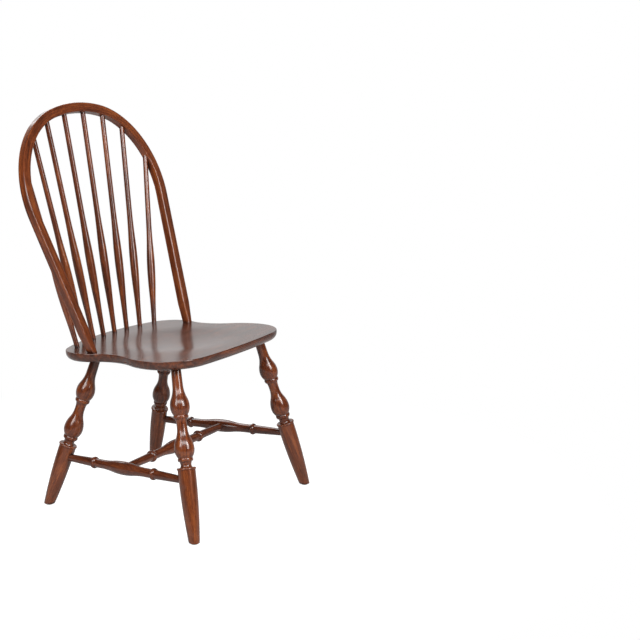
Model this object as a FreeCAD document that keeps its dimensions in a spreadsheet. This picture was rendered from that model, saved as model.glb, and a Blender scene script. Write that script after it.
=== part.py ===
import FreeCAD, Part
import math
import os
import Sketcher

# Hoop back side chair in turned and bent wood, in millimetres.
# +Z is up, the sitter faces -Y and the back rises towards +Y, so left is +X.
# Places are worked out from the middle of the four feet, and the whole chair is
# moved at the end so that its origin is on the floor under the middle of its outline.

Vector = FreeCAD.Vector
Placement = FreeCAD.Placement
Rotation = FreeCAD.Rotation
UP = Vector(0, 0, 1)

doc = FreeCAD.newDocument("HoopBackChair")
dims = doc.addObject("Spreadsheet::Sheet", "dims")

# Driving dimensions: alias, value and what it measures.
DRIVING = [
    ("seat_height", 440.0, "seat top above the floor, at the middle of the feet"),
    ("seat_tilt", 3.2, "degrees the seat falls to the rear"),
    ("seat_thickness", 25.0, "seat plank"),
    ("seat_front", 223.0, "from the middle to the front edge"),
    ("seat_back", 244.0, "from the middle to the rear edge"),
    ("seat_width", 520.0, "widest, near the front corners"),
    ("seat_widest_ahead", 101.0, "the widest place, ahead of the middle"),
    ("seat_waist", 444.0, "narrowest, ahead of the hoop"),
    ("seat_waist_behind", 45.0, "the waist, behind the middle"),
    ("seat_shoulder", 484.0, "width beside the hoop"),
    ("seat_shoulder_behind", 133.0, "the shoulder, behind the middle"),
    ("seat_front_corner", 115.0, "radius of the front corners"),
    ("seat_rear_corner", 85.0, "radius of the rear corners"),
    ("waist_front_share", 0.53, "where the side turns from bulge to hollow"),
    ("waist_rear_share", 0.59, "where it turns back from hollow to bulge"),
    ("seat_lower_round", 18.0, "rounding of the lower edge"),
    ("seat_rim_round", 2.0, "rounding of the upper edge"),
    ("saddle_margin", 23.0, "flat left between the front edge or the waist and the hollow that is sat in"),
    ("saddle_depth", 7.0, "depth of that hollow"),
    ("saddle_ahead", 14.0, "its centre, ahead of the middle"),
    ("saddle_rim_share", 0.35, "part of its slope that rounds over at the rim"),
    ("front_leg_in", 65.8, "front leg at the seat's underside, in from its widest place"),
    ("front_leg_back", 77.5, "the same, back from the front edge"),
    ("front_foot_out", 78.1, "the front foot, farther out than that"),
    ("front_foot_ahead", 104.1, "the front foot, farther ahead than that"),
    ("rear_leg_in", 79.7, "rear leg at the seat's underside, in from the shoulder"),
    ("rear_leg_ahead", 110.7, "the same, ahead of the rear edge"),
    ("rear_foot_out", 79.7, "the rear foot, farther out than that"),
    ("rear_foot_behind", 116.3, "the rear foot, farther behind than that"),
    ("leg_tenon", 17.0, "depth of the leg in the seat"),
    ("leg_neck", 25.6, "leg diameter at the seat"),
    ("vase_neck", 27.0, "leg diameter where the upper vase begins"),
    ("upper_vase", 50.0, "largest diameter of the upper vase"),
    ("upper_vase_drop", 99.0, "its place below the seat's underside"),
    ("upper_vase_rise", 53.0, "from the neck to that place"),
    ("upper_vase_share", 0.6, "hollow part of the rise"),
    ("vase_foot", 36.5, "diameter where a vase ends"),
    ("upper_vase_fall", 21.5, "from its largest diameter to its end"),
    ("ring", 39.2, "diameter of the ring under a vase"),
    ("ring_width", 9.0, "length of that ring along the leg"),
    ("ring_foot", 32.5, "diameter of the step under a ring"),
    ("waist", 26.6, "thin part between the vases"),
    ("waist_fall", 15.0, "from the ring to the thin part"),
    ("waist_length", 8.0, "length of the thin part"),
    ("lower_vase", 51.0, "largest diameter of the lower vase"),
    ("lower_vase_gap", 107.5, "between the largest diameters of both vases"),
    ("lower_vase_share", 0.5, "hollow part of the rise to it"),
    ("lower_vase_fall", 21.5, "from its largest diameter to its end"),
    ("cove", 27.5, "thin part above the collar"),
    ("cove_fall", 9.0, "from the lower ring to that place"),
    ("cove_rise", 6.5, "from there to the collar's upper face"),
    ("collar", 49.5, "diameter of the collar's edge"),
    ("collar_shoulder", 46.0, "diameter of its upper face"),
    ("collar_round", 2.8, "length of each half of its rounded edge"),
    ("shank", 45.4, "foot of the leg below the collar"),
    ("shank_straight", 18.0, "its length before it tapers"),
    ("foot", 25.6, "diameter at the floor"),
    ("foot_trim", 8.0, "length turned past the floor and cut off level"),
    ("front_stretcher_drop", 286.2, "side stretcher on the front leg, below the seat"),
    ("rear_stretcher_drop", 290.0, "the same on the rear leg"),
    ("side_end", 19.2, "side stretcher diameter at the legs"),
    ("side_neck", 24.0, "beside its rings"),
    ("side_ring", 31.5, "its rings"),
    ("side_swell", 36.0, "its middle"),
    ("side_ring_out", 101.5, "each ring, from the middle"),
    ("side_ring_width", 13.0, "length of each ring"),
    ("side_swell_reach", 72.0, "from the middle to the end of the swell"),
    ("side_tenon_gap", 5.0, "from the tenon's end to the leg's axis"),
    ("centre_share", 0.498, "centre stretcher along the side stretchers, from the front"),
    ("centre_end", 20.0, "centre stretcher diameter at its ends"),
    ("centre_neck", 23.2, "beside its rings"),
    ("centre_ring", 32.0, "its rings"),
    ("centre_swell", 36.0, "its middle"),
    ("centre_ring_out", 109.0, "each ring, from the middle"),
    ("centre_ring_width", 14.0, "length of each ring"),
    ("centre_swell_reach", 72.0, "from the middle to the end of the swell"),
    ("centre_tenon_gap", 3.0, "from the tenon's end to the side stretcher's axis"),
    ("bow_foot_in", 25.8, "hoop at the seat, in from the shoulder"),
    ("bow_foot_ahead", 140.2, "the same, ahead of the rear edge"),
    ("bow_rake", 19.7, "degrees the hoop leans back"),
    ("bow_splay", 9.28, "degrees its legs lean out"),
    ("bow_rise", 647.4, "from the seat to the crown's centre line"),
    ("bow_crown", 433.6, "radius of the crown"),
    ("bow_shoulder", 233.4, "radius of the shoulders"),
    ("bow_width", 26.0, "in the hoop's plane"),
    ("bow_depth", 22.0, "front to back"),
    ("bow_leg_depth", 23.5, "the same, where its legs begin to narrow"),
    ("bow_round", 3.0, "rounding of its four edges"),
    ("bow_taper", 57.0, "length over which its legs narrow down to the seat"),
    ("bow_foot_width", 16.0, "in the hoop's plane at the seat"),
    ("bow_foot_depth", 22.0, "front to back at the seat"),
    ("bow_tenon", 17.0, "depth of the hoop in the seat, along its leg"),
    ("spindle_pitch", 49.5, "between spindles at the seat"),
    ("spindle_inset", 26.0, "from the seat's rear edge"),
    ("spindle_bow_pitch", 81.0, "between spindles along the hoop"),
    ("outer_spindle_pitch", 112.7, "from the third spindle to the outer one, along the hoop"),
    ("spindle_foot", 13.3, "spindle diameter at the seat"),
    ("spindle_swell", 22.7, "its largest diameter"),
    ("spindle_swell_share", 0.325, "the place of that, as a share of the way from the seat to the hoop"),
    ("spindle_hollow_share", 0.55, "hollow part of the rise to it"),
    ("spindle_neck", 15.0, "diameter where the swell ends"),
    ("spindle_neck_share", 0.58, "the place of that, on the same way"),
    ("spindle_bulge_share", 0.4, "bulging part of the fall to it"),
    ("spindle_top", 13.7, "its diameter at the hoop"),
    ("spindle_tenon", 15.0, "depth of the spindle in the seat"),
    ("joint_clearance", 0.1, "between a tenon's side and its socket"),
    ("glide", 19.0, "diameter of the glide under each foot"),
    ("glide_height", 3.5, "its thickness"),
    ("glide_round", 1.2, "rounding of its lower edge"),
    ("glide_nail", 2.6, "nail diameter"),
    ("glide_nail_length", 14.0, "nail above the glide"),
    ("glide_nail_point", 4.0, "length of the nail's point"),
    ("glide_nail_tip", 0.6, "diameter of its blunt tip"),
]

# Places that follow from the driving dimensions.
DERIVED = [
    ("saddle_radius", "=min(seat_front - saddle_ahead; seat_waist / 2) - saddle_margin"),
    ("bow_foot_x", "=seat_shoulder / 2 - bow_foot_in"),
    ("bow_foot_y", "=seat_back - bow_foot_ahead"),
    ("front_leg_x", "=seat_width / 2 - front_leg_in"),
    ("front_leg_y", "=front_leg_back - seat_front"),
    ("front_foot_x", "=front_leg_x + front_foot_out"),
    ("front_foot_y", "=front_leg_y - front_foot_ahead"),
    ("rear_leg_x", "=seat_shoulder / 2 - rear_leg_in"),
    ("rear_leg_y", "=seat_back - rear_leg_ahead"),
    ("rear_foot_x", "=rear_leg_x + rear_foot_out"),
    ("rear_foot_y", "=rear_leg_y + rear_foot_behind"),
]

dims.set("A1", "what it measures")
dims.set("B1", "value")
for row, (alias, value, meaning) in enumerate(DRIVING, start=2):
    dims.set("A%d" % row, meaning)
    dims.set("B%d" % row, str(value))
    dims.setAlias("B%d" % row, alias)
doc.recompute()
for row, (alias, formula) in enumerate(DERIVED, start=len(DRIVING) + 2):
    dims.set("A%d" % row, "worked out")
    dims.set("B%d" % row, formula)
    dims.setAlias("B%d" % row, alias)
    doc.recompute()


def size(expression):
    """Value of an expression of the sheet, such as a diameter or half of it."""
    return float(dims.evalExpression(expression))


def half(alias):
    return "dims.%s / 2" % alias


SUB_PARTS = []


def sub_part(thing, name):
    """Gives a finished piece its name and adds it to the chair."""
    thing.Label = name
    SUB_PARTS.append(thing)
    return thing


# Sketched outlines

def plane_of(body, role):
    return [item for item in body.Origin.OriginFeatures if item.Role == role][0]


def sketch_on(body, role, name):
    sketch = body.newObject("Sketcher::SketchObject", name)
    sketch.AttachmentSupport = [(plane_of(body, role), "")]
    sketch.MapMode = "FlatFace"
    return sketch


def arc_through(start, end, level, centre_by):
    """Arc whose centre is level with one end (or plumb under it), as a geometry and its two ends."""
    known, other = (start, end) if centre_by == "start" else (end, start)
    run = other - known
    along, across = (run.x, run.y) if level else (run.y, run.x)
    offset = (along ** 2 + across ** 2) / (2 * along)
    centre = known + (Vector(offset, 0, 0) if level else Vector(0, offset, 0))
    return arc_about(centre, start, end)


def arc_about(centre, start, end):
    turn = (start - centre).cross(end - centre).z
    first, last = (start, end) if turn > 0 else (end, start)
    angles = [math.atan2((point - centre).y, (point - centre).x) for point in (first, last)]
    circle = Part.Circle(centre, UP, (start - centre).Length)
    arc = Part.ArcOfCircle(circle, angles[0], angles[1])
    return (arc, 1, 2) if turn > 0 else (arc, 2, 1)


def draw_outline(sketch, corners, edges, radii=None):
    """Closed outline. A corner is a pair of expressions, or a first guess where its two edges only
    have to run into each other. An edge is "line", or an arc whose centre is level or plumb with
    its first or last corner ("level start", "plumb end"). Radii gives arcs a radius of their own."""
    points = [corner if isinstance(corner, Vector) else Vector(size(corner[0]), size(corner[1]), 0)
              for corner in corners]
    ends = []
    for index, kind in enumerate(edges):
        start, end = points[index], points[(index + 1) % len(points)]
        if kind == "line":
            ends.append((sketch.addGeometry(Part.LineSegment(start, end), False), 1, 2))
            continue
        direction, centre_by = kind.split()
        arc, first, last = arc_through(start, end, direction == "level", centre_by)
        geometry = sketch.addGeometry(arc, False)
        ends.append((geometry, first, last))
        aligned = "Horizontal" if direction == "level" else "Vertical"
        known = first if centre_by == "start" else last
        sketch.addConstraint(Sketcher.Constraint(aligned, geometry, 3, geometry, known))
    for index, corner in enumerate(corners):
        before, here = ends[index - 1], ends[index]
        join = "Tangent" if isinstance(corner, Vector) else "Coincident"
        sketch.addConstraint(Sketcher.Constraint(join, before[0], before[2], here[0], here[1]))
        if join == "Coincident":
            pin(sketch, here[0], here[1], corner, points[index])
    for index, expression in (radii or {}).items():
        bind(sketch, Sketcher.Constraint("Radius", ends[index][0], size(expression)), expression)


def bind(sketch, constraint, expression):
    number = sketch.addConstraint(constraint)
    sketch.setExpression("Constraints[%d]" % number, expression)


def pin(sketch, geometry, end, corner, point):
    """Holds a point at its two expressions, or on an axis where one of them is nought."""
    for axis, expression, place, line in (("X", corner[0], point.x, -2), ("Y", corner[1], point.y, -1)):
        if expression == "0":
            sketch.addConstraint(Sketcher.Constraint("PointOnObject", geometry, end, line))
        else:
            bind(sketch, Sketcher.Constraint("Distance" + axis, -1, 1, geometry, end, place), expression)


def between(first, last, share):
    """Corner where an ogee turns, at a share of the way between its two ends."""
    return tuple("(%s) + (%s - (%s)) * %s" % (a, b, a, share) for a, b in zip(first, last))


# Turned pieces

class Turning:
    """Half profile of a turned piece, drawn from one end to the other along its axis."""

    def __init__(self, along, radius):
        self.corners = [("0", along), (radius, along)]
        self.edges = ["line"]

    def line(self, along, radius):
        self.corners.append((radius, along))
        self.edges.append("line")

    def from_crest(self, along, radius):
        """Arc that leaves the last corner parallel to the axis."""
        self.corners.append((radius, along))
        self.edges.append("level start")

    def to_crest(self, along, radius):
        """Arc that ends parallel to the axis."""
        self.corners.append((radius, along))
        self.edges.append("level end")

    def ogee(self, along, radius, share):
        """Hollow and bulge in one, parallel to the axis at both ends."""
        last = self.corners[-1]
        self.corners.append(between(last, (radius, along), share))
        self.edges.append("level start")
        self.corners.append((radius, along))
        self.edges.append("level end")

    def body(self, name):
        body = doc.addObject("PartDesign::Body", name)
        sketch = sketch_on(body, "XZ_Plane", name + "_profile")
        corners = self.corners + [("0", self.corners[-1][1])]
        draw_outline(sketch, corners, self.edges + ["line", "line"])
        turned = body.newObject("PartDesign::Revolution", name + "_turned")
        turned.Profile = sketch
        turned.ReferenceAxis = (sketch, ["V_Axis"])
        turned.Angle = 360.0
        doc.recompute()
        return body


def along_axis(start, end):
    """Placement that puts a piece's own Z axis from one point towards another."""
    return Placement(start, Rotation(UP, end - start))


def drill(name, diameter, start, end, reach=0.0):
    """Socket for a round tenon: from its bottom at start towards end, and past it by reach."""
    tool = doc.addObject("Part::Cylinder", name)
    tool.setExpression("Radius", "dims.%s / 2 + dims.joint_clearance" % diameter)
    tool.Height = (end - start).Length + reach
    tool.Placement = along_axis(start, end)
    return tool


def cut(base, tools, name):
    """The piece with all its sockets cut, as one sub-part."""
    tool = tools[0]
    if len(tools) > 1:
        tool = doc.addObject("Part::MultiFuse", name + "_cuts")
        tool.Shapes = tools
    result = doc.addObject("Part::Cut", name)
    result.Base = base
    result.Tool = tool
    doc.recompute()
    if not 0 < result.Shape.Volume < base.Shape.Volume:
        raise ValueError(name + " was not cut")
    return sub_part(result, name)


# Places that several pieces share

TILT = math.radians(size("dims.seat_tilt"))
SEAT_FRAME = Placement(
    Vector(0, 0, size("dims.seat_height")),
    Rotation(Vector(1, 0, 0), -size("dims.seat_tilt")),
)


def on_seat(x, along, below=0.0):
    """Point of the seat from its own sizes: sideways, front to back along the plank, and down."""
    return SEAT_FRAME.multVec(Vector(x, along, -below))


def under_seat(x, y):
    """Point of the seat's underside straight above a place on the floor plan."""
    thickness = size("dims.seat_thickness")
    height = size("dims.seat_height") - y * math.tan(TILT) - thickness / math.cos(TILT)
    return Vector(x, y, height)


RAKE = size("dims.bow_rake")
BOW_FOOT_Y = size("dims.bow_foot_y")
BOW_FRAME = Placement(
    Vector(0, BOW_FOOT_Y, size("dims.seat_height") - BOW_FOOT_Y * math.tan(TILT)),
    Rotation(Vector(1, 0, 0), -RAKE),
)


def on_bow(x, rise):
    """Point of the hoop's plane, sideways and up along the rake from the seat."""
    return BOW_FRAME.multVec(Vector(x, 0, rise))


LEGS = {}
for end in ("front", "rear"):
    for side, sign in (("left", 1), ("right", -1)):
        top = under_seat(sign * size("dims.%s_leg_x" % end), size("dims.%s_leg_y" % end))
        foot = Vector(sign * size("dims.%s_foot_x" % end), size("dims.%s_foot_y" % end), 0)
        LEGS[end, side] = (top, foot)


def on_leg(end, side, drop):
    """Point of a leg's axis at a distance below the seat."""
    top, foot = LEGS[end, side]
    return top + (foot - top).normalize() * drop


# Seat

def long_arc(reach, depth, corner):
    """Radius of the long arc of an edge that runs into a corner arc, and where they meet,
    sideways from the middle and in from the edge."""
    radius = (reach ** 2 + depth ** 2 - 2 * reach * corner) / (2 * (depth - corner))
    share = radius / (radius - corner)
    return radius, (reach - corner) * share, radius - (radius - depth) * share


FRONT_ARC = long_arc(size(half("seat_width")), size("dims.seat_front - dims.seat_widest_ahead"),
                     size("dims.seat_front_corner"))
REAR_ARC = long_arc(size(half("seat_shoulder")), size("dims.seat_back - dims.seat_shoulder_behind"),
                    size("dims.seat_rear_corner"))


def draw_seat_side(sketch):
    """Half outline of the seat, from the middle of the front edge round to the middle of the rear."""
    widest = (half("seat_width"), "-dims.seat_widest_ahead")
    waist = (half("seat_waist"), "dims.seat_waist_behind")
    shoulder = (half("seat_shoulder"), "dims.seat_shoulder_behind")
    corners = [
        ("0", "-dims.seat_front"),
        Vector(FRONT_ARC[1], FRONT_ARC[2] - size("dims.seat_front"), 0),
        widest,
        between(widest, waist, "dims.waist_front_share"),
        waist,
        between(waist, shoulder, "dims.waist_rear_share"),
        shoulder,
        Vector(REAR_ARC[1], size("dims.seat_back") - REAR_ARC[2], 0),
        ("0", "dims.seat_back"),
    ]
    edges = ["plumb start", "level end", "level start", "level end", "level start", "level end",
             "level start", "plumb end", "line"]
    draw_outline(sketch, corners, edges, {1: "dims.seat_front_corner", 6: "dims.seat_rear_corner"})


seat_body = doc.addObject("PartDesign::Body", "seat_plank")
seat_outline = sketch_on(seat_body, "XY_Plane", "seat_half_outline")
draw_seat_side(seat_outline)
seat_pad = seat_body.newObject("PartDesign::Pad", "seat_half")
seat_pad.Profile = seat_outline
seat_pad.setExpression("Length", "dims.seat_thickness")
seat_pad.Reversed = True
doc.recompute()
seat_whole = seat_body.newObject("PartDesign::Mirrored", "seat_whole")
seat_whole.Originals = [seat_pad]
seat_whole.MirrorPlane = (plane_of(seat_body, "YZ_Plane"), [""])
seat_body.Tip = seat_whole
doc.recompute()


def edges_at_height(shape, height):
    """Names of the edges that lie level at a height."""
    names = []
    for number, edge in enumerate(shape.Edges, start=1):
        box = edge.BoundBox
        if abs(box.ZMin - height) < 0.001 and abs(box.ZMax - height) < 0.001:
            names.append("Edge%d" % number)
    return names


for name, height, radius in (("seat_lower_edge", -size("dims.seat_thickness"), "dims.seat_lower_round"),
                             ("seat_upper_edge", 0.0, "dims.seat_rim_round")):
    base = seat_body.Tip
    rounding = seat_body.newObject("PartDesign::Fillet", name)
    rounding.Base = (base, edges_at_height(base.Shape, height))
    rounding.setExpression("Radius", radius)
    seat_body.Tip = rounding
    doc.recompute()

solid_plank = seat_body.Shape.Volume
saddle_profile = sketch_on(seat_body, "XZ_Plane", "saddle_profile")
saddle_profile.setExpression("AttachmentOffset.Base.z", "dims.saddle_ahead")
saddle_bottom = ("0", "-dims.saddle_depth")
saddle_rim = ("dims.saddle_radius", "0")
draw_outline(
    saddle_profile,
    [saddle_bottom, between(saddle_bottom, saddle_rim, "(1 - dims.saddle_rim_share)"), saddle_rim,
     ("dims.saddle_radius", "dims.saddle_depth"), ("0", "dims.saddle_depth")],
    ["plumb start", "plumb end", "line", "line", "line"],
)
saddle = seat_body.newObject("PartDesign::Groove", "saddle")
saddle.Profile = saddle_profile
saddle.ReferenceAxis = (saddle_profile, ["V_Axis"])
saddle.Angle = 360.0
seat_body.Tip = saddle
seat_body.Placement = SEAT_FRAME
doc.recompute()
if seat_body.Shape.Volume >= solid_plank:
    raise ValueError("the saddle was not cut")


# Hoop: a rounded bar bent over two shoulders and a flatter crown, on straight legs that narrow
# just above the seat

def rounded_bar(sketch, width, depth, radius):
    """Bar section about the sketch's origin, its four corners rounded."""
    x_side, y_side = size(width), size(depth)
    edge = size(radius)
    inner_x, inner_y = x_side - edge, y_side - edge
    centres = [Vector(inner_x, inner_y, 0), Vector(-inner_x, inner_y, 0),
               Vector(-inner_x, -inner_y, 0), Vector(inner_x, -inner_y, 0)]
    for quarter, centre in enumerate(centres):
        start = quarter * math.pi / 2
        circle = Part.Circle(centre, UP, edge)
        sketch.addGeometry(Part.ArcOfCircle(circle, start, start + math.pi / 2), False)
    for quarter in range(4):
        first = sketch.Geometry[quarter].EndPoint
        second = sketch.Geometry[(quarter + 1) % 4].StartPoint
        sketch.addGeometry(Part.LineSegment(first, second), False)
    for quarter in range(4):
        following = (quarter + 1) % 4
        sketch.addConstraint(Sketcher.Constraint("Tangent", quarter, 2, 4 + quarter, 1))
        sketch.addConstraint(Sketcher.Constraint("Tangent", 4 + quarter, 2, following, 1))
    for side in (4, 6):
        sketch.addConstraint(Sketcher.Constraint("Horizontal", side))
    for side in (5, 7):
        sketch.addConstraint(Sketcher.Constraint("Vertical", side))
    for corner in (1, 2, 3):
        sketch.addConstraint(Sketcher.Constraint("Equal", 0, corner))
    bind(sketch, Sketcher.Constraint("Radius", 0, edge), radius)
    bind(sketch, Sketcher.Constraint("DistanceX", -1, 1, 0, 1, x_side), width)
    bind(sketch, Sketcher.Constraint("DistanceX", 1, 2, -1, 1, x_side), width)
    bind(sketch, Sketcher.Constraint("DistanceY", -1, 1, 0, 2, y_side), depth)
    bind(sketch, Sketcher.Constraint("DistanceY", 2, 2, -1, 1, y_side), depth)


SPLAY = math.radians(size("dims.bow_splay"))
CROWN, SHOULDER, RISE = size("dims.bow_crown"), size("dims.bow_shoulder"), size("dims.bow_rise")
crown_lean = (size("dims.bow_foot_x") * math.cos(SPLAY) - SHOULDER + (RISE - CROWN) * math.sin(SPLAY))
CROWN_HALF = SPLAY + math.asin(crown_lean / (CROWN - SHOULDER))
CROWN_CENTRE = Vector(0, RISE - CROWN, 0)
CROWN_END_DIRECTION = Vector(math.sin(CROWN_HALF), math.cos(CROWN_HALF), 0)
SHOULDER_CENTRE = CROWN_CENTRE + CROWN_END_DIRECTION * (CROWN - SHOULDER)
CROWN_END = CROWN_CENTRE + CROWN_END_DIRECTION * CROWN
HAUNCH = SHOULDER_CENTRE + Vector(math.cos(SPLAY), -math.sin(SPLAY), 0) * SHOULDER


def along_bow(distance):
    """Place of the hoop's centre line, sideways and up, at a distance along it from the crown."""
    if distance < CROWN * CROWN_HALF:
        centre, radius, angle = CROWN_CENTRE, CROWN, distance / CROWN
    else:
        centre, radius = SHOULDER_CENTRE, SHOULDER
        angle = CROWN_HALF + (distance - CROWN * CROWN_HALF) / SHOULDER
    return centre.x + radius * math.sin(angle), centre.y + radius * math.cos(angle)


bow_body = doc.addObject("PartDesign::Body", "bow_bar")
bow_path = sketch_on(bow_body, "XZ_Plane", "bow_path")
BOW_FOOT = Vector(size("dims.bow_foot_x"), 0, 0)
bow_path.addGeometry(arc_about(CROWN_CENTRE, Vector(0, RISE, 0), CROWN_END)[0], False)
bow_path.addGeometry(arc_about(SHOULDER_CENTRE, CROWN_END, HAUNCH)[0], False)
bow_path.addGeometry(Part.LineSegment(BOW_FOOT, HAUNCH), True)
for kind, *ends in (("Tangent", 0, 1, 1, 2), ("Tangent", 1, 1, 2, 2), ("PointOnObject", 0, 3, -2),
                    ("PointOnObject", 0, 2, -2), ("PointOnObject", 2, 1, -1)):
    bow_path.addConstraint(Sketcher.Constraint(kind, *ends))
bind(bow_path, Sketcher.Constraint("Radius", 0, CROWN), "dims.bow_crown")
bind(bow_path, Sketcher.Constraint("Radius", 1, SHOULDER), "dims.bow_shoulder")
bind(bow_path, Sketcher.Constraint("DistanceY", -1, 1, 0, 2, RISE), "dims.bow_rise")
bind(bow_path, Sketcher.Constraint("DistanceX", -1, 1, 2, 1, BOW_FOOT.x), "dims.bow_foot_x")
bind(bow_path, Sketcher.Constraint("Angle", 2, math.pi / 2 - SPLAY), "90 - dims.bow_splay")

bow_section = sketch_on(bow_body, "YZ_Plane", "bow_section")
bow_section.setExpression("AttachmentOffset.Base.y", "dims.bow_rise")
rounded_bar(bow_section, half("bow_depth"), half("bow_width"), "dims.bow_round")
doc.recompute()
bow_bend = bow_body.newObject("PartDesign::AdditivePipe", "bow_bend")
bow_bend.Profile = bow_section
bow_bend.Spine = bow_path
bow_body.Tip = bow_bend
doc.recompute()

bow_leg_sections = []
bow_leg_down = Vector(-math.sin(SPLAY), -math.cos(SPLAY), 0)
bow_leg_length = HAUNCH.y / math.cos(SPLAY)
for name, distance, width, depth in (
    ("bow_leg_top", 0.0, "bow_width", "bow_depth"),
    ("bow_leg_taper", bow_leg_length - size("dims.bow_taper"), "bow_width", "bow_leg_depth"),
    ("bow_leg_foot", bow_leg_length, "bow_foot_width", "bow_foot_depth"),
    ("bow_leg_tenon", bow_leg_length + size("dims.bow_tenon"), "bow_foot_width", "bow_foot_depth"),
):
    place = HAUNCH + bow_leg_down * distance
    section = sketch_on(bow_body, "XY_Plane", name)
    turn = Rotation(Vector(0, 1, 0), math.degrees(SPLAY))
    section.AttachmentOffset = Placement(Vector(place.x, 0, place.y), turn)
    rounded_bar(section, half(width), half(depth), "dims.bow_round")
    bow_leg_sections.append(section)
doc.recompute()
bow_leg = bow_body.newObject("PartDesign::AdditiveLoft", "bow_leg")
bow_leg.Profile = bow_leg_sections[0]
bow_leg.Sections = bow_leg_sections[1:]
bow_leg.Ruled = True
bow_body.Tip = bow_leg
doc.recompute()
bow_whole = bow_body.newObject("PartDesign::Mirrored", "bow_whole")
bow_whole.Originals = [bow_bend, bow_leg]
bow_whole.MirrorPlane = (plane_of(bow_body, "YZ_Plane"), [""])
bow_body.Tip = bow_whole
bow_body.Placement = BOW_FRAME
doc.recompute()


# Mortises for the hoop's feet, with the tapered foot's section and the joint clearance

bow_mortises = []
for side in (1, -1):
    mortise = doc.addObject("Part::Extrusion", "bow_mortise_%s" % ("left" if side > 0 else "right"))
    section = doc.addObject("Sketcher::SketchObject", mortise.Name + "_section")
    rounded_bar(section, half("bow_foot_width") + " + dims.joint_clearance",
                half("bow_foot_depth") + " + dims.joint_clearance", "dims.bow_round")
    down = bow_leg_down * size("dims.bow_tenon")
    lean = Rotation(Vector(0, 1, 0), side * math.degrees(SPLAY))
    section.Placement = BOW_FRAME * Placement(Vector(side * (BOW_FOOT.x + down.x), 0, down.y), lean)
    mortise.Base = section
    mortise.DirMode = "Normal"
    mortise.Solid = True
    mortise.LengthFwd = 2 * size("dims.bow_tenon")
    bow_mortises.append(mortise)
doc.recompute()


# Spindles: from sockets on an arc inside the seat's rear edge to the hoop's centre line. Their
# straight ends and the sockets run on under the hoop, because the outer ones meet it at a slant.

SPINDLE_ROW = REAR_ARC[0] - size("dims.spindle_inset")
SPINDLE_ROW_CENTRE = size("dims.seat_back") - REAR_ARC[0]
BOW_PITCH = size("dims.spindle_bow_pitch")
SPINDLE_TOPS = [BOW_PITCH * place for place in (0.5, 1.5, 2.5)]
SPINDLE_TOPS.append(SPINDLE_TOPS[-1] + size("dims.outer_spindle_pitch"))
SPINDLES = 2 * len(SPINDLE_TOPS)
SPINDLE_END = "1.5 * dims.bow_width"
BOW_SOCKET = 3 * size("dims.bow_width")
spindle_sockets = []
bow_sockets = []
spindles = []
for number in range(1, SPINDLES + 1):
    place = number - (SPINDLES + 1) / 2
    side = math.copysign(1, place)
    foot_x = place * size("dims.spindle_pitch")
    row_y = SPINDLE_ROW_CENTRE + math.sqrt(SPINDLE_ROW ** 2 - foot_x ** 2)
    top_x, top_rise = along_bow(SPINDLE_TOPS[int(abs(place))])
    seat_point = on_seat(foot_x, row_y)
    top_point = on_bow(side * top_x, top_rise)
    rise = (top_point - seat_point).Length
    upward = (top_point - seat_point).normalize()
    bottom_point = seat_point - upward * size("dims.spindle_tenon")

    profile = Turning("0", half("spindle_foot"))
    profile.line("dims.spindle_tenon", half("spindle_foot"))
    profile.ogee("dims.spindle_tenon + dims.spindle_swell_share * %f" % rise, half("spindle_swell"),
                 "dims.spindle_hollow_share")
    profile.ogee("dims.spindle_tenon + dims.spindle_neck_share * %f" % rise, half("spindle_neck"),
                 "dims.spindle_bulge_share")
    profile.line("dims.spindle_tenon + %f - %s" % (rise, SPINDLE_END), half("spindle_top"))
    profile.line("dims.spindle_tenon + %f" % rise, half("spindle_top"))
    spindle = profile.body("spindle_%d_turning" % number)
    spindle.Placement = along_axis(bottom_point, top_point)
    spindles.append(sub_part(spindle, "spindle_%d" % number))
    spindle_sockets.append(drill("spindle_socket_%d" % number, "spindle_foot", bottom_point, seat_point,
                                 size("dims.seat_thickness")))
    bow_sockets.append(drill("bow_socket_%d" % number, "spindle_top", top_point,
                             top_point - upward * BOW_SOCKET))

bow = cut(bow_body, bow_sockets, "bow")


# Legs

def leg_profile(length):
    """Two vases, each over a ring, a cove, a collar and the tapered shank down to the floor. The
    neck stays straight for a short way, where the slanting seat can meet it."""
    profile = Turning("-dims.leg_tenon", half("leg_neck"))
    profile.line("dims.leg_neck / 4", half("leg_neck"))
    place = "dims.upper_vase_drop"
    profile.line(place + " - dims.upper_vase_rise", half("vase_neck"))
    profile.ogee(place, half("upper_vase"), "dims.upper_vase_share")
    place = vase_end(profile, place + " + dims.upper_vase_fall")
    place += " + dims.waist_fall"
    profile.to_crest(place, half("waist"))
    profile.line(place + " + dims.waist_length", half("waist"))
    place = "dims.upper_vase_drop + dims.lower_vase_gap"
    profile.ogee(place, half("lower_vase"), "dims.lower_vase_share")
    place = vase_end(profile, place + " + dims.lower_vase_fall")
    place += " + dims.cove_fall"
    profile.to_crest(place, half("cove"))
    place += " + dims.cove_rise"
    profile.from_crest(place, half("ring_foot"))
    profile.line(place, half("collar_shoulder"))
    place += " + dims.collar_round"
    profile.to_crest(place, half("collar"))
    place += " + dims.collar_round"
    profile.from_crest(place, half("shank"))
    profile.line(place + " + dims.shank_straight", half("shank"))
    profile.from_crest("%f + dims.foot_trim" % length, half("foot"))
    return profile


def vase_end(profile, place):
    """Lower end of a vase, the ring under it and the step under the ring."""
    profile.from_crest(place, half("vase_foot"))
    profile.to_crest(place + " + dims.ring_width / 2", half("ring"))
    place += " + dims.ring_width"
    profile.from_crest(place, half("vase_foot"))
    profile.line(place, half("ring_foot"))
    return place


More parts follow.
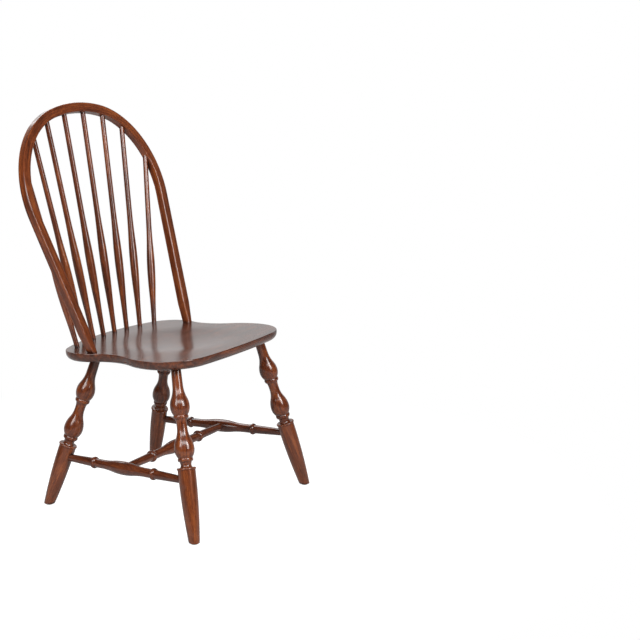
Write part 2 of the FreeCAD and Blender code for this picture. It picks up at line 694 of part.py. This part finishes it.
FOOT_BLOCK = 3 * size("dims.foot")
leg_sockets = []
for (end, side), (top, foot) in LEGS.items():
    name = "leg_%s_%s" % (end, side)
    blank = leg_profile((foot - top).Length).body(name + "_turning")
    blank.Placement = along_axis(top, foot)
    tenon_end = on_leg(end, side, -size("dims.leg_tenon"))
    leg_sockets.append(drill(name + "_seat_socket", "leg_neck", tenon_end, top, size("dims.leg_neck")))

    # The other end of the side stretcher gives the direction of its socket.
    other_end = "rear" if end == "front" else "front"
    joint = on_leg(end, side, size("dims.%s_stretcher_drop" % end))
    far_joint = on_leg(other_end, side, size("dims.%s_stretcher_drop" % other_end))
    tenon_bottom = joint + (far_joint - joint).normalize() * size("dims.side_tenon_gap")
    run_out = joint + (far_joint - joint).normalize() * size("dims.shank")
    socket = drill(name + "_stretcher_socket", "side_end", tenon_bottom, run_out)

    # The foot is cut off level, and bored for the nail of its glide.
    sole = size("dims.glide_height")
    sole_middle = foot + (top - foot) * (sole / top.z)
    ground = doc.addObject("Part::Box", name + "_ground")
    ground.Length = FOOT_BLOCK
    ground.Width = FOOT_BLOCK
    ground.Height = FOOT_BLOCK
    ground_corner = sole_middle - Vector(FOOT_BLOCK / 2, FOOT_BLOCK / 2, FOOT_BLOCK)
    ground.Placement = Placement(ground_corner, Rotation())
    nail_end = sole_middle + UP * (size("dims.glide_nail_length") + size("dims.joint_clearance"))
    nail_hole = drill(name + "_nail_hole", "glide_nail", nail_end, sole_middle, sole)
    cut(blank, [socket, ground, nail_hole], name)

    glide_profile = Turning("0", "dims.glide / 2 - dims.glide_round")
    glide_profile.to_crest("dims.glide_round", half("glide"))
    glide_profile.line("dims.glide_height", half("glide"))
    glide_profile.line("dims.glide_height", half("glide_nail"))
    shaft_end = "dims.glide_height + dims.glide_nail_length - dims.glide_nail_point"
    glide_profile.line(shaft_end, half("glide_nail"))
    glide_profile.line("dims.glide_height + dims.glide_nail_length", half("glide_nail_tip"))
    glide = glide_profile.body("glide_%s_%s_turning" % (end, side))
    glide.Placement = Placement(Vector(sole_middle.x, sole_middle.y, 0), Rotation())
    sub_part(glide, "glide_%s_%s" % (end, side))


# Stretchers

def stretcher(kind, start, end, entry, name):
    """A swell between two rings, thinner to both ends. Start and end are the ends of its tenons,
    and entry is the length of tenon that is out of sight."""
    middle = (end - start).Length / 2
    ring_out = "dims.%s_ring_out" % kind
    ring_half = "dims.%s_ring_width / 2" % kind
    swell_reach = "dims.%s_swell_reach" % kind
    neck, ring, tip = half(kind + "_neck"), half(kind + "_ring"), half(kind + "_end")
    near, far = "%f - %s" % (middle, ring_out), "%f + %s" % (middle, ring_out)
    profile = Turning("0", tip)
    profile.line(entry, tip)
    profile.line(near + " - " + ring_half, neck)
    profile.to_crest(near, ring)
    profile.from_crest(near + " + " + ring_half, neck)
    profile.line("%f - %s" % (middle, swell_reach), neck)
    profile.ogee("%f" % middle, half(kind + "_swell"), "0.5")
    profile.ogee("%f + %s" % (middle, swell_reach), neck, "0.5")
    profile.line(far + " - " + ring_half, neck)
    profile.to_crest(far, ring)
    profile.from_crest(far + " + " + ring_half, neck)
    profile.line("%f - (%s)" % (2 * middle, entry), tip)
    profile.line("%f" % (2 * middle), tip)
    body = profile.body(name + "_turning")
    body.Placement = along_axis(start, end)
    return body


centre_ends = {}
for side in ("left", "right"):
    name = "side_stretcher_" + side
    front, rear = [on_leg(end, side, size("dims.%s_stretcher_drop" % end)) for end in ("front", "rear")]
    gap = (rear - front).normalize() * size("dims.side_tenon_gap")
    blank = stretcher("side", front + gap, rear - gap, "dims.shank / 2 - dims.side_tenon_gap", name)

    joint = front + (rear - front) * size("dims.centre_share")
    inward = Vector(-math.copysign(1, joint.x), 0, 0)
    centre_ends[side] = joint + inward * size("dims.centre_tenon_gap")
    run_out = joint + inward * size("dims.side_swell")
    cut(blank, [drill(name + "_socket", "centre_end", centre_ends[side], run_out)], name)

sub_part(
    stretcher("centre", centre_ends["right"], centre_ends["left"],
              "dims.side_swell / 2 - dims.centre_tenon_gap", "centre_stretcher"),
    "centre_stretcher",
)
seat = cut(seat_body, leg_sockets + spindle_sockets + bow_mortises, "seat")


# The origin goes to the floor, under the middle of the chair's outline

doc.recompute()
outline = FreeCAD.BoundBox()
for thing in SUB_PARTS:
    outline.add(thing.Shape.optimalBoundingBox())
to_middle = Placement(Vector(-outline.Center.x, -outline.Center.y, 0), Rotation())
for thing in SUB_PARTS:
    thing.Placement = to_middle * thing.Placement
doc.recompute()

for thing in doc.Objects:
    if "Invalid" in thing.State or "Error" in thing.State:
        raise ValueError("%s did not build: %s" % (thing.Label, thing.State))
for thing in SUB_PARTS:
    if thing.Shape.isNull() or not thing.Shape.isValid() or len(thing.Shape.Solids) != 1:
        raise ValueError(thing.Label + " is not one valid solid")

os.makedirs("parts", exist_ok=True)
for thing in SUB_PARTS:
    thing.Shape.exportStep("parts/%s.step" % thing.Label)
    print("%-24s %10.0f mm3" % (thing.Label, thing.Shape.Volume))
print("moved by %.2f, %.2f" % (to_middle.Base.x, to_middle.Base.y), outline)
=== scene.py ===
import bpy
import math
from mathutils import Matrix, Vector


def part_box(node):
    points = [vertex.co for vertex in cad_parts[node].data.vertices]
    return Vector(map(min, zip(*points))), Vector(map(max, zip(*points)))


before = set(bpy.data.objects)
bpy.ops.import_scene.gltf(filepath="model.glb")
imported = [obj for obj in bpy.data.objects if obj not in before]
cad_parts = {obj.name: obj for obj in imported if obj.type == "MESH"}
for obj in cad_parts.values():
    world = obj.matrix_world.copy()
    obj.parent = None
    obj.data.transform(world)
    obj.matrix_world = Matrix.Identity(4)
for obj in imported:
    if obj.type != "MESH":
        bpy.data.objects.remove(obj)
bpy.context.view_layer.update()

# Seat. A plank glued up from boards whose grain runs from side to side, planed hollow for the
# sitter. Like every wooden piece of the chair it is wiped with a chestnut stain, darkened with
# painted shade in its hollows and joints, and sprayed with a gloss lacquer.
SEAT_RIGHT_END, SEAT_LEFT_END = (-0.25, 0, 0.44), (0.25, 0, 0.44)
SEAT_TONES = ((0.014, 0.005, 0.002), (0.054, 0.014, 0.006), (0.150, 0.042, 0.015))
# Colour of the painted shade in hollows and joints.
PAINTED_SHADE = (0.012, 0.004, 0.003, 1)
PAINTED_SHADE_REACH, ARRIS_WIDTH, LIGHTER_BAND = 0.012, 0.004, 0.02


def link(tree, start, end):
    tree.links.new(start, end)


def add_node(tree, kind, *inputs, **named_inputs):
    """A node of the tree, with inputs set or linked in their order or by name."""
    node = tree.nodes.new(kind)
    sockets = list(zip(node.inputs, inputs))
    sockets += [(node.inputs[name.replace("_", " ")], value)
                for name, value in named_inputs.items()]
    for socket, value in sockets:
        if isinstance(value, bpy.types.NodeSocket):
            link(tree, value, socket)
        else:
            socket.default_value = value
    return node


def calculate(tree, operation, *numbers):
    node = add_node(tree, "ShaderNodeMath", *numbers)
    node.operation = operation
    return node.outputs[0]


def fade(tree, value, low, high, low_result=0.0, high_result=1.0):
    """Smooth change from one result to another while a value goes from low to high."""
    node = add_node(tree, "ShaderNodeMapRange", Value=value, From_Min=low, From_Max=high,
                    To_Min=low_result, To_Max=high_result)
    node.interpolation_type = "SMOOTHSTEP"
    return node.outputs[0]


def noise(tree, place, spacing, detail=2.0, roughness=0.5, distortion=0.0):
    """Noise whose spots measure the three spacings, in metres."""
    scaled = add_node(tree, "ShaderNodeMapping", Vector=place,
                      Scale=[1 / size for size in spacing])
    node = add_node(tree, "ShaderNodeTexNoise", Vector=scaled.outputs["Vector"], Scale=1.0,
                    Detail=detail, Roughness=roughness, Distortion=distortion)
    return node.outputs["Fac"]


def colour_ramp(tree, value, places, colours):
    """Colours at their places along a value from 0 to 1, blended in between."""
    node = add_node(tree, "ShaderNodeValToRGB", Fac=value)
    elements = node.color_ramp.elements
    while len(elements) < len(places):
        elements.new(0.5)
    for element, place, colour in zip(elements, places, colours):
        element.position = place
        element.color = (*colour, 1)
    return node.outputs["Color"]


def blend_colours(tree, kind, amount, first, second):
    node = tree.nodes.new("ShaderNodeMix")
    node.data_type = "RGBA"
    node.blend_type = kind
    for number, value in ((0, amount), (6, first), (7, second)):
        if isinstance(value, bpy.types.NodeSocket):
            link(tree, value, node.inputs[number])
        else:
            node.inputs[number].default_value = value
    return node.outputs[2]


def new_material(name):
    material = bpy.data.materials.new(name)
    material.use_nodes = True
    material.node_tree.nodes.clear()
    return material


def grain_along(tree, start, end, log_number):
    """Object coordinates turned so that Z runs from start to end, in a log of their own."""
    start, end = Vector(start), Vector(end)
    turn = (end - start).to_track_quat("Z", "Y").inverted()
    log_place = Vector((0.37 * log_number, 0.21 * log_number, 0))
    coordinates = tree.nodes.new("ShaderNodeTexCoord").outputs["Object"]
    mapping = add_node(tree, "ShaderNodeMapping", Vector=coordinates,
                       Location=log_place - turn @ start, Rotation=turn.to_euler())
    return mapping.outputs["Vector"]


def lacquered_wood(material, place, tones, lighter_below=0):
    """Stained and lacquered wood with painted shade in its hollows. Place gives coordinates whose Z
    runs along the grain.
    Tones are the darkest, middle and lightest stain, and below a height it is lighter."""
    tree = material.node_tree
    lightest = (*tones[2], 1)
    blotches = noise(tree, place, (0.022, 0.022, 0.07), detail=3.0, roughness=0.6, distortion=0.8)
    rings = noise(tree, place, (0.006, 0.011, 0.30), detail=3.0, roughness=0.6, distortion=0.5)
    fibres = noise(tree, place, (0.0017, 0.0017, 0.045), detail=4.0, roughness=0.65)
    pores = noise(tree, place, (0.0008, 0.0008, 0.009), detail=1.0)
    figure = calculate(tree, "MULTIPLY_ADD", rings, 0.42,
                       calculate(tree, "MULTIPLY", blotches, 0.26))
    figure = calculate(tree, "MULTIPLY_ADD", fibres, 0.32, figure)
    stain = colour_ramp(tree, figure, (0.36, 0.50, 0.65), tones)
    pore_shade = colour_ramp(tree, pores, (0.34, 0.46), ((0.42, 0.36, 0.34), (1, 1, 1)))
    stain = blend_colours(tree, "MULTIPLY", 0.75, stain, pore_shade)

    hollow = add_node(tree, "ShaderNodeAmbientOcclusion", Distance=PAINTED_SHADE_REACH)
    hollow.samples = 8
    arris = add_node(tree, "ShaderNodeAmbientOcclusion", Distance=ARRIS_WIDTH)
    arris.samples = 8
    arris.inside = True
    arris.only_local = True
    coordinates = tree.nodes.new("ShaderNodeTexCoord").outputs["Object"]
    height = add_node(tree, "ShaderNodeSeparateXYZ", coordinates).outputs["Z"]
    # Lighter below the given height.
    lightening = fade(tree, height, lighter_below, lighter_below + LIGHTER_BAND, 0.12, 0.0)
    stain = blend_colours(tree, "MIX", lightening, stain, lightest)
    # Edges lightened towards the lightest stain, partly as wear and partly as a painted highlight.
    worn_and_highlit = fade(tree, arris.outputs["AO"], 0.40, 0.75, 0.45, 0.0)
    stain = blend_colours(tree, "MIX", worn_and_highlit, stain, lightest)
    # Painted shade: the dark colour is laid in the hollows and joints that ambient occlusion finds.
    unshaded = fade(tree, hollow.outputs["AO"], 0.42, 0.96)
    colour = blend_colours(tree, "MIX", unshaded, PAINTED_SHADE, stain)

    relief = add_node(tree, "ShaderNodeBump", Strength=0.20, Distance=0.0003, Height=fibres)
    ripple = noise(tree, place, (0.011, 0.011, 0.03), detail=1.0)
    lacquer_relief = add_node(tree, "ShaderNodeBump", Strength=0.15, Distance=0.0005,
                              Height=ripple)
    roughness = fade(tree, fibres, 0.3, 0.7, 0.52, 0.40)
    shader = add_node(tree, "ShaderNodeBsdfPrincipled", Base_Color=colour, Roughness=roughness,
                      Specular_IOR_Level=0.05, Coat_Weight=1.0, Coat_Roughness=0.19,
                      Coat_IOR=1.45, Normal=relief.outputs["Normal"],
                      Coat_Normal=lacquer_relief.outputs["Normal"])
    add_node(tree, "ShaderNodeOutputMaterial", Surface=shader.outputs["BSDF"])


def dress(piece_name, material):
    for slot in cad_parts[piece_name].material_slots:
        slot.material = material


def dress_along(piece_name, start, end, log_number, tones, lighter_below=0):
    """Lacquered wood on a straight piece whose grain runs from start to end."""
    material = new_material(piece_name + "_wood")
    grain = grain_along(material.node_tree, start, end, log_number)
    lacquered_wood(material, grain, tones, lighter_below)
    dress(piece_name, material)


dress_along("seat", SEAT_RIGHT_END, SEAT_LEFT_END, 1, SEAT_TONES)

# Legs. Each is turned from one square of wood with the grain along it: two vases over rings, a
# collar and a plain tapering foot. Its tenon is glued into a hole bored at a slant into the seat.
TURNED_TONES = ((0.026, 0.006, 0.002), (0.098, 0.021, 0.006), (0.225, 0.060, 0.013))
COLLAR_HEIGHT = 0.17
LEGS = ("leg_front_left", "leg_front_right", "leg_rear_left", "leg_rear_right")

for log_number, piece_name in enumerate(LEGS, start=2):
    low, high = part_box(piece_name)
    inner, outer = (low[0], high[0]) if piece_name.endswith("left") else (high[0], low[0])
    towards, away = (high[1], low[1]) if "front" in piece_name else (low[1], high[1])
    dress_along(piece_name, (inner, towards, high[2]), (outer, away, low[2]), log_number,
                TURNED_TONES, COLLAR_HEIGHT)

# Stretchers. Two side stretchers join the front and rear legs, and a third joins the middles of
# those two. They are turned like the legs, with a swell between two rings, and glued into sockets.
# The stretchers' tones are the legs' tones made darker, as painted shade for their place low under
# the seat.
SHADED_STRETCHER_TONES = ((0.020, 0.005, 0.002), (0.080, 0.018, 0.006), (0.165, 0.044, 0.012))

for log_number, piece_name in enumerate(("side_stretcher_left", "side_stretcher_right"), start=10):
    low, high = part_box(piece_name)
    front_x, rear_x = (high[0], low[0]) if piece_name.endswith("left") else (low[0], high[0])
    height = (low[2] + high[2]) / 2
    dress_along(piece_name, (front_x, low[1], height), (rear_x, high[1], height), log_number,
                SHADED_STRETCHER_TONES)
low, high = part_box("centre_stretcher")
middle_y, middle_z = (low[1] + high[1]) / 2, (low[2] + high[2]) / 2
dress_along("centre_stretcher", (low[0], middle_y, middle_z), (high[0], middle_y, middle_z), 12,
            SHADED_STRETCHER_TONES)

# Hoop. One straight-grained bar is steamed and bent over a form, so that its grain follows the
# bend, and both ends are glued into the seat. Its coordinates for the grain are worked out from
# the same arcs as its shape: across the bend, through it, and along it from the crown.
HOOP_TONES = ((0.026, 0.006, 0.002), (0.112, 0.025, 0.007), (0.250, 0.068, 0.015))
CHAIR_AHEAD = 0.03654   # how far the drawing's middle of the seat stands ahead of the origin
BOW_RAKE, BOW_SPLAY = math.radians(19.7), math.radians(9.28)
BOW_FOOT = Vector((0.2162, 0.1038 - CHAIR_AHEAD, 0.4342))
BOW_RISE, CROWN_RADIUS, SHOULDER_RADIUS = 0.6474, 0.4336, 0.2334


def grain_round_hoop(tree):
    """Coordinates for the bent bar: outwards, through it, and along it from the crown."""
    crown_up = BOW_RISE - CROWN_RADIUS
    from_crown = CROWN_RADIUS - SHOULDER_RADIUS
    crown_lean = (BOW_FOOT.x * math.cos(BOW_SPLAY) - SHOULDER_RADIUS
                  + crown_up * math.sin(BOW_SPLAY))
    crown_turn = BOW_SPLAY + math.asin(crown_lean / from_crown)
    leg_turn = math.pi / 2 + BOW_SPLAY
    crown_centre = Vector((0, crown_up))
    shoulder_centre = crown_centre + from_crown * Vector(
        (math.sin(crown_turn), math.cos(crown_turn)))
    crown_length = CROWN_RADIUS * crown_turn
    bend_length = crown_length + SHOULDER_RADIUS * (leg_turn - crown_turn)

    def polar(sideways, up, centre, radius):
        """Angle from straight up and distance outside an arc."""
        across = calculate(tree, "SUBTRACT", sideways, centre.x)
        rise = calculate(tree, "SUBTRACT", up, centre.y)
        angle = calculate(tree, "ARCTAN2", across, rise)
        squares = calculate(tree, "ADD", calculate(tree, "MULTIPLY", across, across),
                            calculate(tree, "MULTIPLY", rise, rise))
        reach = calculate(tree, "POWER", squares, 0.5)
        return angle, calculate(tree, "SUBTRACT", reach, radius)

    def choose(switch, first, second):
        """First where the switch is 0, second where it is 1."""
        node = tree.nodes.new("ShaderNodeMix")
        for socket, value in zip(node.inputs[0:1] + node.inputs[2:4], (switch, first, second)):
            link(tree, value, socket)
        return node.outputs[0]

    coordinates = tree.nodes.new("ShaderNodeTexCoord").outputs["Object"]
    foot = Matrix.Rotation(BOW_RAKE, 3, "X") @ Vector((0, BOW_FOOT.y, BOW_FOOT.z))
    plane = add_node(tree, "ShaderNodeMapping", Vector=coordinates, Rotation=(BOW_RAKE, 0, 0),
                     Location=-foot)
    across, through, up = add_node(tree, "ShaderNodeSeparateXYZ", plane.outputs["Vector"]).outputs
    sideways = calculate(tree, "ABSOLUTE", across)
    side = calculate(tree, "SIGN", across)

    crown_angle, crown_out = polar(sideways, up, crown_centre, CROWN_RADIUS)
    shoulder_angle, shoulder_out = polar(sideways, up, shoulder_centre, SHOULDER_RADIUS)
    crown_along = calculate(tree, "MULTIPLY", crown_angle, CROWN_RADIUS)
    past_crown_turn = calculate(tree, "SUBTRACT", shoulder_angle, crown_turn)
    shoulder_along = calculate(tree, "MULTIPLY_ADD", past_crown_turn, SHOULDER_RADIUS,
                               crown_length)
    from_x = calculate(tree, "SUBTRACT", sideways, shoulder_centre.x)
    from_up = calculate(tree, "SUBTRACT", up, shoulder_centre.y)
    leg_along = calculate(
        tree, "MULTIPLY_ADD", from_x, -math.sin(BOW_SPLAY),
        calculate(tree, "MULTIPLY_ADD", from_up, -math.cos(BOW_SPLAY), bend_length))
    leg_out = calculate(
        tree, "MULTIPLY_ADD", from_x, math.cos(BOW_SPLAY),
        calculate(tree, "MULTIPLY_ADD", from_up, -math.sin(BOW_SPLAY), -SHOULDER_RADIUS))
    past_crown = calculate(tree, "GREATER_THAN", crown_angle, crown_turn)
    past_shoulder = calculate(tree, "GREATER_THAN", leg_along, bend_length)
    along = choose(past_shoulder, choose(past_crown, crown_along, shoulder_along), leg_along)
    outward = choose(past_shoulder, choose(past_crown, crown_out, shoulder_out), leg_out)
    place = add_node(tree, "ShaderNodeCombineXYZ", outward, through,
                     calculate(tree, "MULTIPLY", along, side))
    return place.outputs["Vector"]


bow_wood = new_material("bow_wood")
lacquered_wood(bow_wood, grain_round_hoop(bow_wood.node_tree), HOOP_TONES)
dress("bow", bow_wood)

# Spindles. Eight thin turnings with a swell low down, each glued into the seat and into the hoop.
# They lean with the hoop, and fan out sideways from the seat to the hoop.
for number in range(1, 9):
    piece_name = "spindle_%d" % number
    low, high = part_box(piece_name)
    foot_x, top_x = (low[0], high[0]) if number > 4 else (high[0], low[0])
    dress_along(piece_name, (foot_x, low[1], low[2]), (top_x, high[1], high[2]), 20 + number,
                TURNED_TONES)

# Glides. Pressed steel caps with a nail, driven into the feet so that they slide on a floor. The
# steel has a dark zinc finish, scuffed and scratched where it drags.
DARK_ZINC, WORN_ZINC = (0.055, 0.050, 0.047), (0.13, 0.12, 0.11)
BARE_STEEL = (0.34, 0.33, 0.31, 1)

steel = new_material("glide_zinc")
tree = steel.node_tree
place = tree.nodes.new("ShaderNodeTexCoord").outputs["Object"]
scuffs = noise(tree, place, (0.0012, 0.010, 0.004), detail=4.0, roughness=0.7)
spots = noise(tree, place, (0.004, 0.004, 0.004))
colour = colour_ramp(tree, spots, (0.35, 0.65), (DARK_ZINC, WORN_ZINC))
colour = blend_colours(tree, "MIX", fade(tree, scuffs, 0.60, 0.68), colour, BARE_STEEL)
relief = add_node(tree, "ShaderNodeBump", Strength=0.2, Distance=0.0001, Height=scuffs)
shader = add_node(tree, "ShaderNodeBsdfPrincipled", Base_Color=colour, Metallic=0.9,
                  Roughness=fade(tree, spots, 0.3, 0.7, 0.32, 0.5),
                  Normal=relief.outputs["Normal"])
add_node(tree, "ShaderNodeOutputMaterial", Surface=shader.outputs["BSDF"])
for end in ("front", "rear"):
    for side in ("left", "right"):
        dress("glide_%s_%s" % (end, side), steel)

# Studio. A white paper floor that runs out into a white background, lit evenly, with two tall soft
# boxes beside the camera that draw the bright streaks on the turnings, a wide one over it, and a
# weaker one high behind the chair that fills its back.
AZIMUTH, ELEVATION, ROLL = math.radians(-54.4), math.radians(12.8), math.radians(-1.0)
CAMERA_SIDE = Vector((math.sin(AZIMUTH), -math.cos(AZIMUTH), 0))
IMAGE_RIGHT = Vector((math.cos(AZIMUTH), math.sin(AZIMUTH), 0))
WHITE = (1, 1, 1, 1)
PAPER_TONES = ((0.42, 0.42, 0.42), (0.45, 0.45, 0.45))
FLOOR_RADIUS, FLOOR_GLOW, FLOOR_IN_GLOSS = 12, 0.76, 0.08
WHITE_FROM, ALL_WHITE_FROM = 0.35, 1.2
ROOM_LIGHT, ROOM_IN_GLOSS, BACKDROP_IN_GLOSS = 0.12, 0.04, 0.73


def camera_and_gloss_rays(tree):
    """1 for rays that come from the camera, and 1 for those that a gloss or a glass sends on."""
    path = tree.nodes.new("ShaderNodeLightPath").outputs
    gloss = calculate(tree, "MAXIMUM", path["Is Glossy Ray"], path["Is Transmission Ray"])
    return path["Is Camera Ray"], gloss


bpy.ops.mesh.primitive_circle_add(vertices=96, radius=FLOOR_RADIUS, fill_type="NGON",
                                  location=(0, 0, 0))
floor = bpy.context.object
floor.name = "studio_floor"
paper = new_material("studio_paper")
tree = paper.node_tree
place = tree.nodes.new("ShaderNodeTexCoord").outputs["Object"]
distance = add_node(tree, "ShaderNodeVectorMath", place)
distance.operation = "LENGTH"
camera_ray, gloss_ray = camera_and_gloss_rays(tree)
seen = calculate(tree, "MULTIPLY_ADD", gloss_ray, FLOOR_IN_GLOSS, camera_ray)
fibre = noise(tree, place, (0.004, 0.004, 0.004))
matt = add_node(tree, "ShaderNodeBsdfPrincipled", Roughness=0.9,
                Base_Color=colour_ramp(tree, fibre, (0.3, 0.7), PAPER_TONES))
glow = add_node(tree, "ShaderNodeEmission", Color=WHITE,
                Strength=calculate(tree, "MULTIPLY", seen, FLOOR_GLOW))
lit = add_node(tree, "ShaderNodeAddShader", matt.outputs[0], glow.outputs[0])
white = add_node(tree, "ShaderNodeEmission", Color=WHITE, Strength=1.0)
far = calculate(tree, "MULTIPLY", seen,
                fade(tree, distance.outputs["Value"], WHITE_FROM, ALL_WHITE_FROM))
both = add_node(tree, "ShaderNodeMixShader", far, lit.outputs[0], white.outputs[0])
add_node(tree, "ShaderNodeOutputMaterial", Surface=both.outputs[0])
floor.data.materials.append(paper)

world = bpy.data.worlds.new("studio")
bpy.context.scene.world = world
world.use_nodes = True
tree = world.node_tree
tree.nodes.clear()
direction = tree.nodes.new("ShaderNodeTexCoord").outputs["Generated"]
behind = add_node(tree, "ShaderNodeVectorMath", direction, -CAMERA_SIDE)
behind.operation = "DOT_PRODUCT"
height = add_node(tree, "ShaderNodeSeparateXYZ", direction).outputs["Z"]
backdrop = calculate(tree, "MULTIPLY", fade(tree, behind.outputs["Value"], 0.2, 0.9),
                     fade(tree, height, 0.25, 0.6, 1.0, 0.0))
camera_ray, gloss_ray = camera_and_gloss_rays(tree)
in_gloss = calculate(tree, "MULTIPLY_ADD", backdrop, BACKDROP_IN_GLOSS, ROOM_IN_GLOSS)
seen = calculate(tree, "MULTIPLY_ADD", gloss_ray, in_gloss, camera_ray)
diffuse_ray = calculate(tree, "SUBTRACT", 1.0,
                        calculate(tree, "MAXIMUM", gloss_ray, camera_ray))
strength = calculate(tree, "MULTIPLY_ADD", diffuse_ray, ROOM_LIGHT, seen)
background = add_node(tree, "ShaderNodeBackground", WHITE, strength)
add_node(tree, "ShaderNodeOutputWorld", background.outputs[0])


def softbox(name, sideways, forward, height, aim_height, width, length, power):
    """Soft lamp, placed sideways and towards the camera from the chair, that faces it."""
    place = IMAGE_RIGHT * sideways + CAMERA_SIDE * forward + Vector((0, 0, height))
    aim = Vector((0, 0, aim_height)) - place
    bpy.ops.object.light_add(type="AREA", location=place)
    lamp = bpy.context.object
    lamp.name = name
    lamp.data.shape = "RECTANGLE"
    lamp.data.size = width
    lamp.data.size_y = length
    lamp.data.energy = power
    lamp.rotation_euler = aim.to_track_quat("-Z", "Y").to_euler()


softbox("left_box", sideways=-1.3, forward=1.5, height=1.5, aim_height=0.5,
        width=0.7, length=1.2, power=31)
softbox("right_box", sideways=1.9, forward=2.0, height=1.8, aim_height=0.6,
        width=0.8, length=1.5, power=74)
softbox("front_box", sideways=0.3, forward=2.0, height=2.05, aim_height=0.9,
        width=3.2, length=0.7, power=68)
softbox("back_box", sideways=-0.5, forward=-1.9, height=2.5, aim_height=0.5,
        width=1.6, length=1.6, power=44)

# Camera, where the photograph was taken from. The chair stands in the left part of the picture and
# is seen as in the middle of a view, so the lens is shifted to suit.
DISTANCE, AIM = 3.7696, Vector((0, -CHAIR_AHEAD, 0.45))
FRAME, FOCAL_LENGTH, MIDDLE_X, MIDDLE_Y = 640, 1409.6, 173.0, 335.3
SENSOR_WIDTH = 36
back = CAMERA_SIDE * math.cos(ELEVATION) + Vector((0, 0, math.sin(ELEVATION)))
up = back.cross(IMAGE_RIGHT)
camera_x = IMAGE_RIGHT * math.cos(ROLL) + up * math.sin(ROLL)
camera_y = up * math.cos(ROLL) - IMAGE_RIGHT * math.sin(ROLL)
turn = Matrix((camera_x, camera_y, back)).transposed().to_4x4()
camera = bpy.data.objects.new("camera", bpy.data.cameras.new("camera"))
bpy.context.scene.collection.objects.link(camera)
camera.matrix_world = Matrix.Translation(AIM + back * DISTANCE) @ turn
camera.data.sensor_width = SENSOR_WIDTH
camera.data.lens = SENSOR_WIDTH * FOCAL_LENGTH / FRAME
camera.data.shift_x = (FRAME / 2 - MIDDLE_X) / FRAME
camera.data.shift_y = (MIDDLE_Y - FRAME / 2) / FRAME
bpy.context.scene.camera = camera
bpy.context.scene.view_settings.view_transform = "Standard"
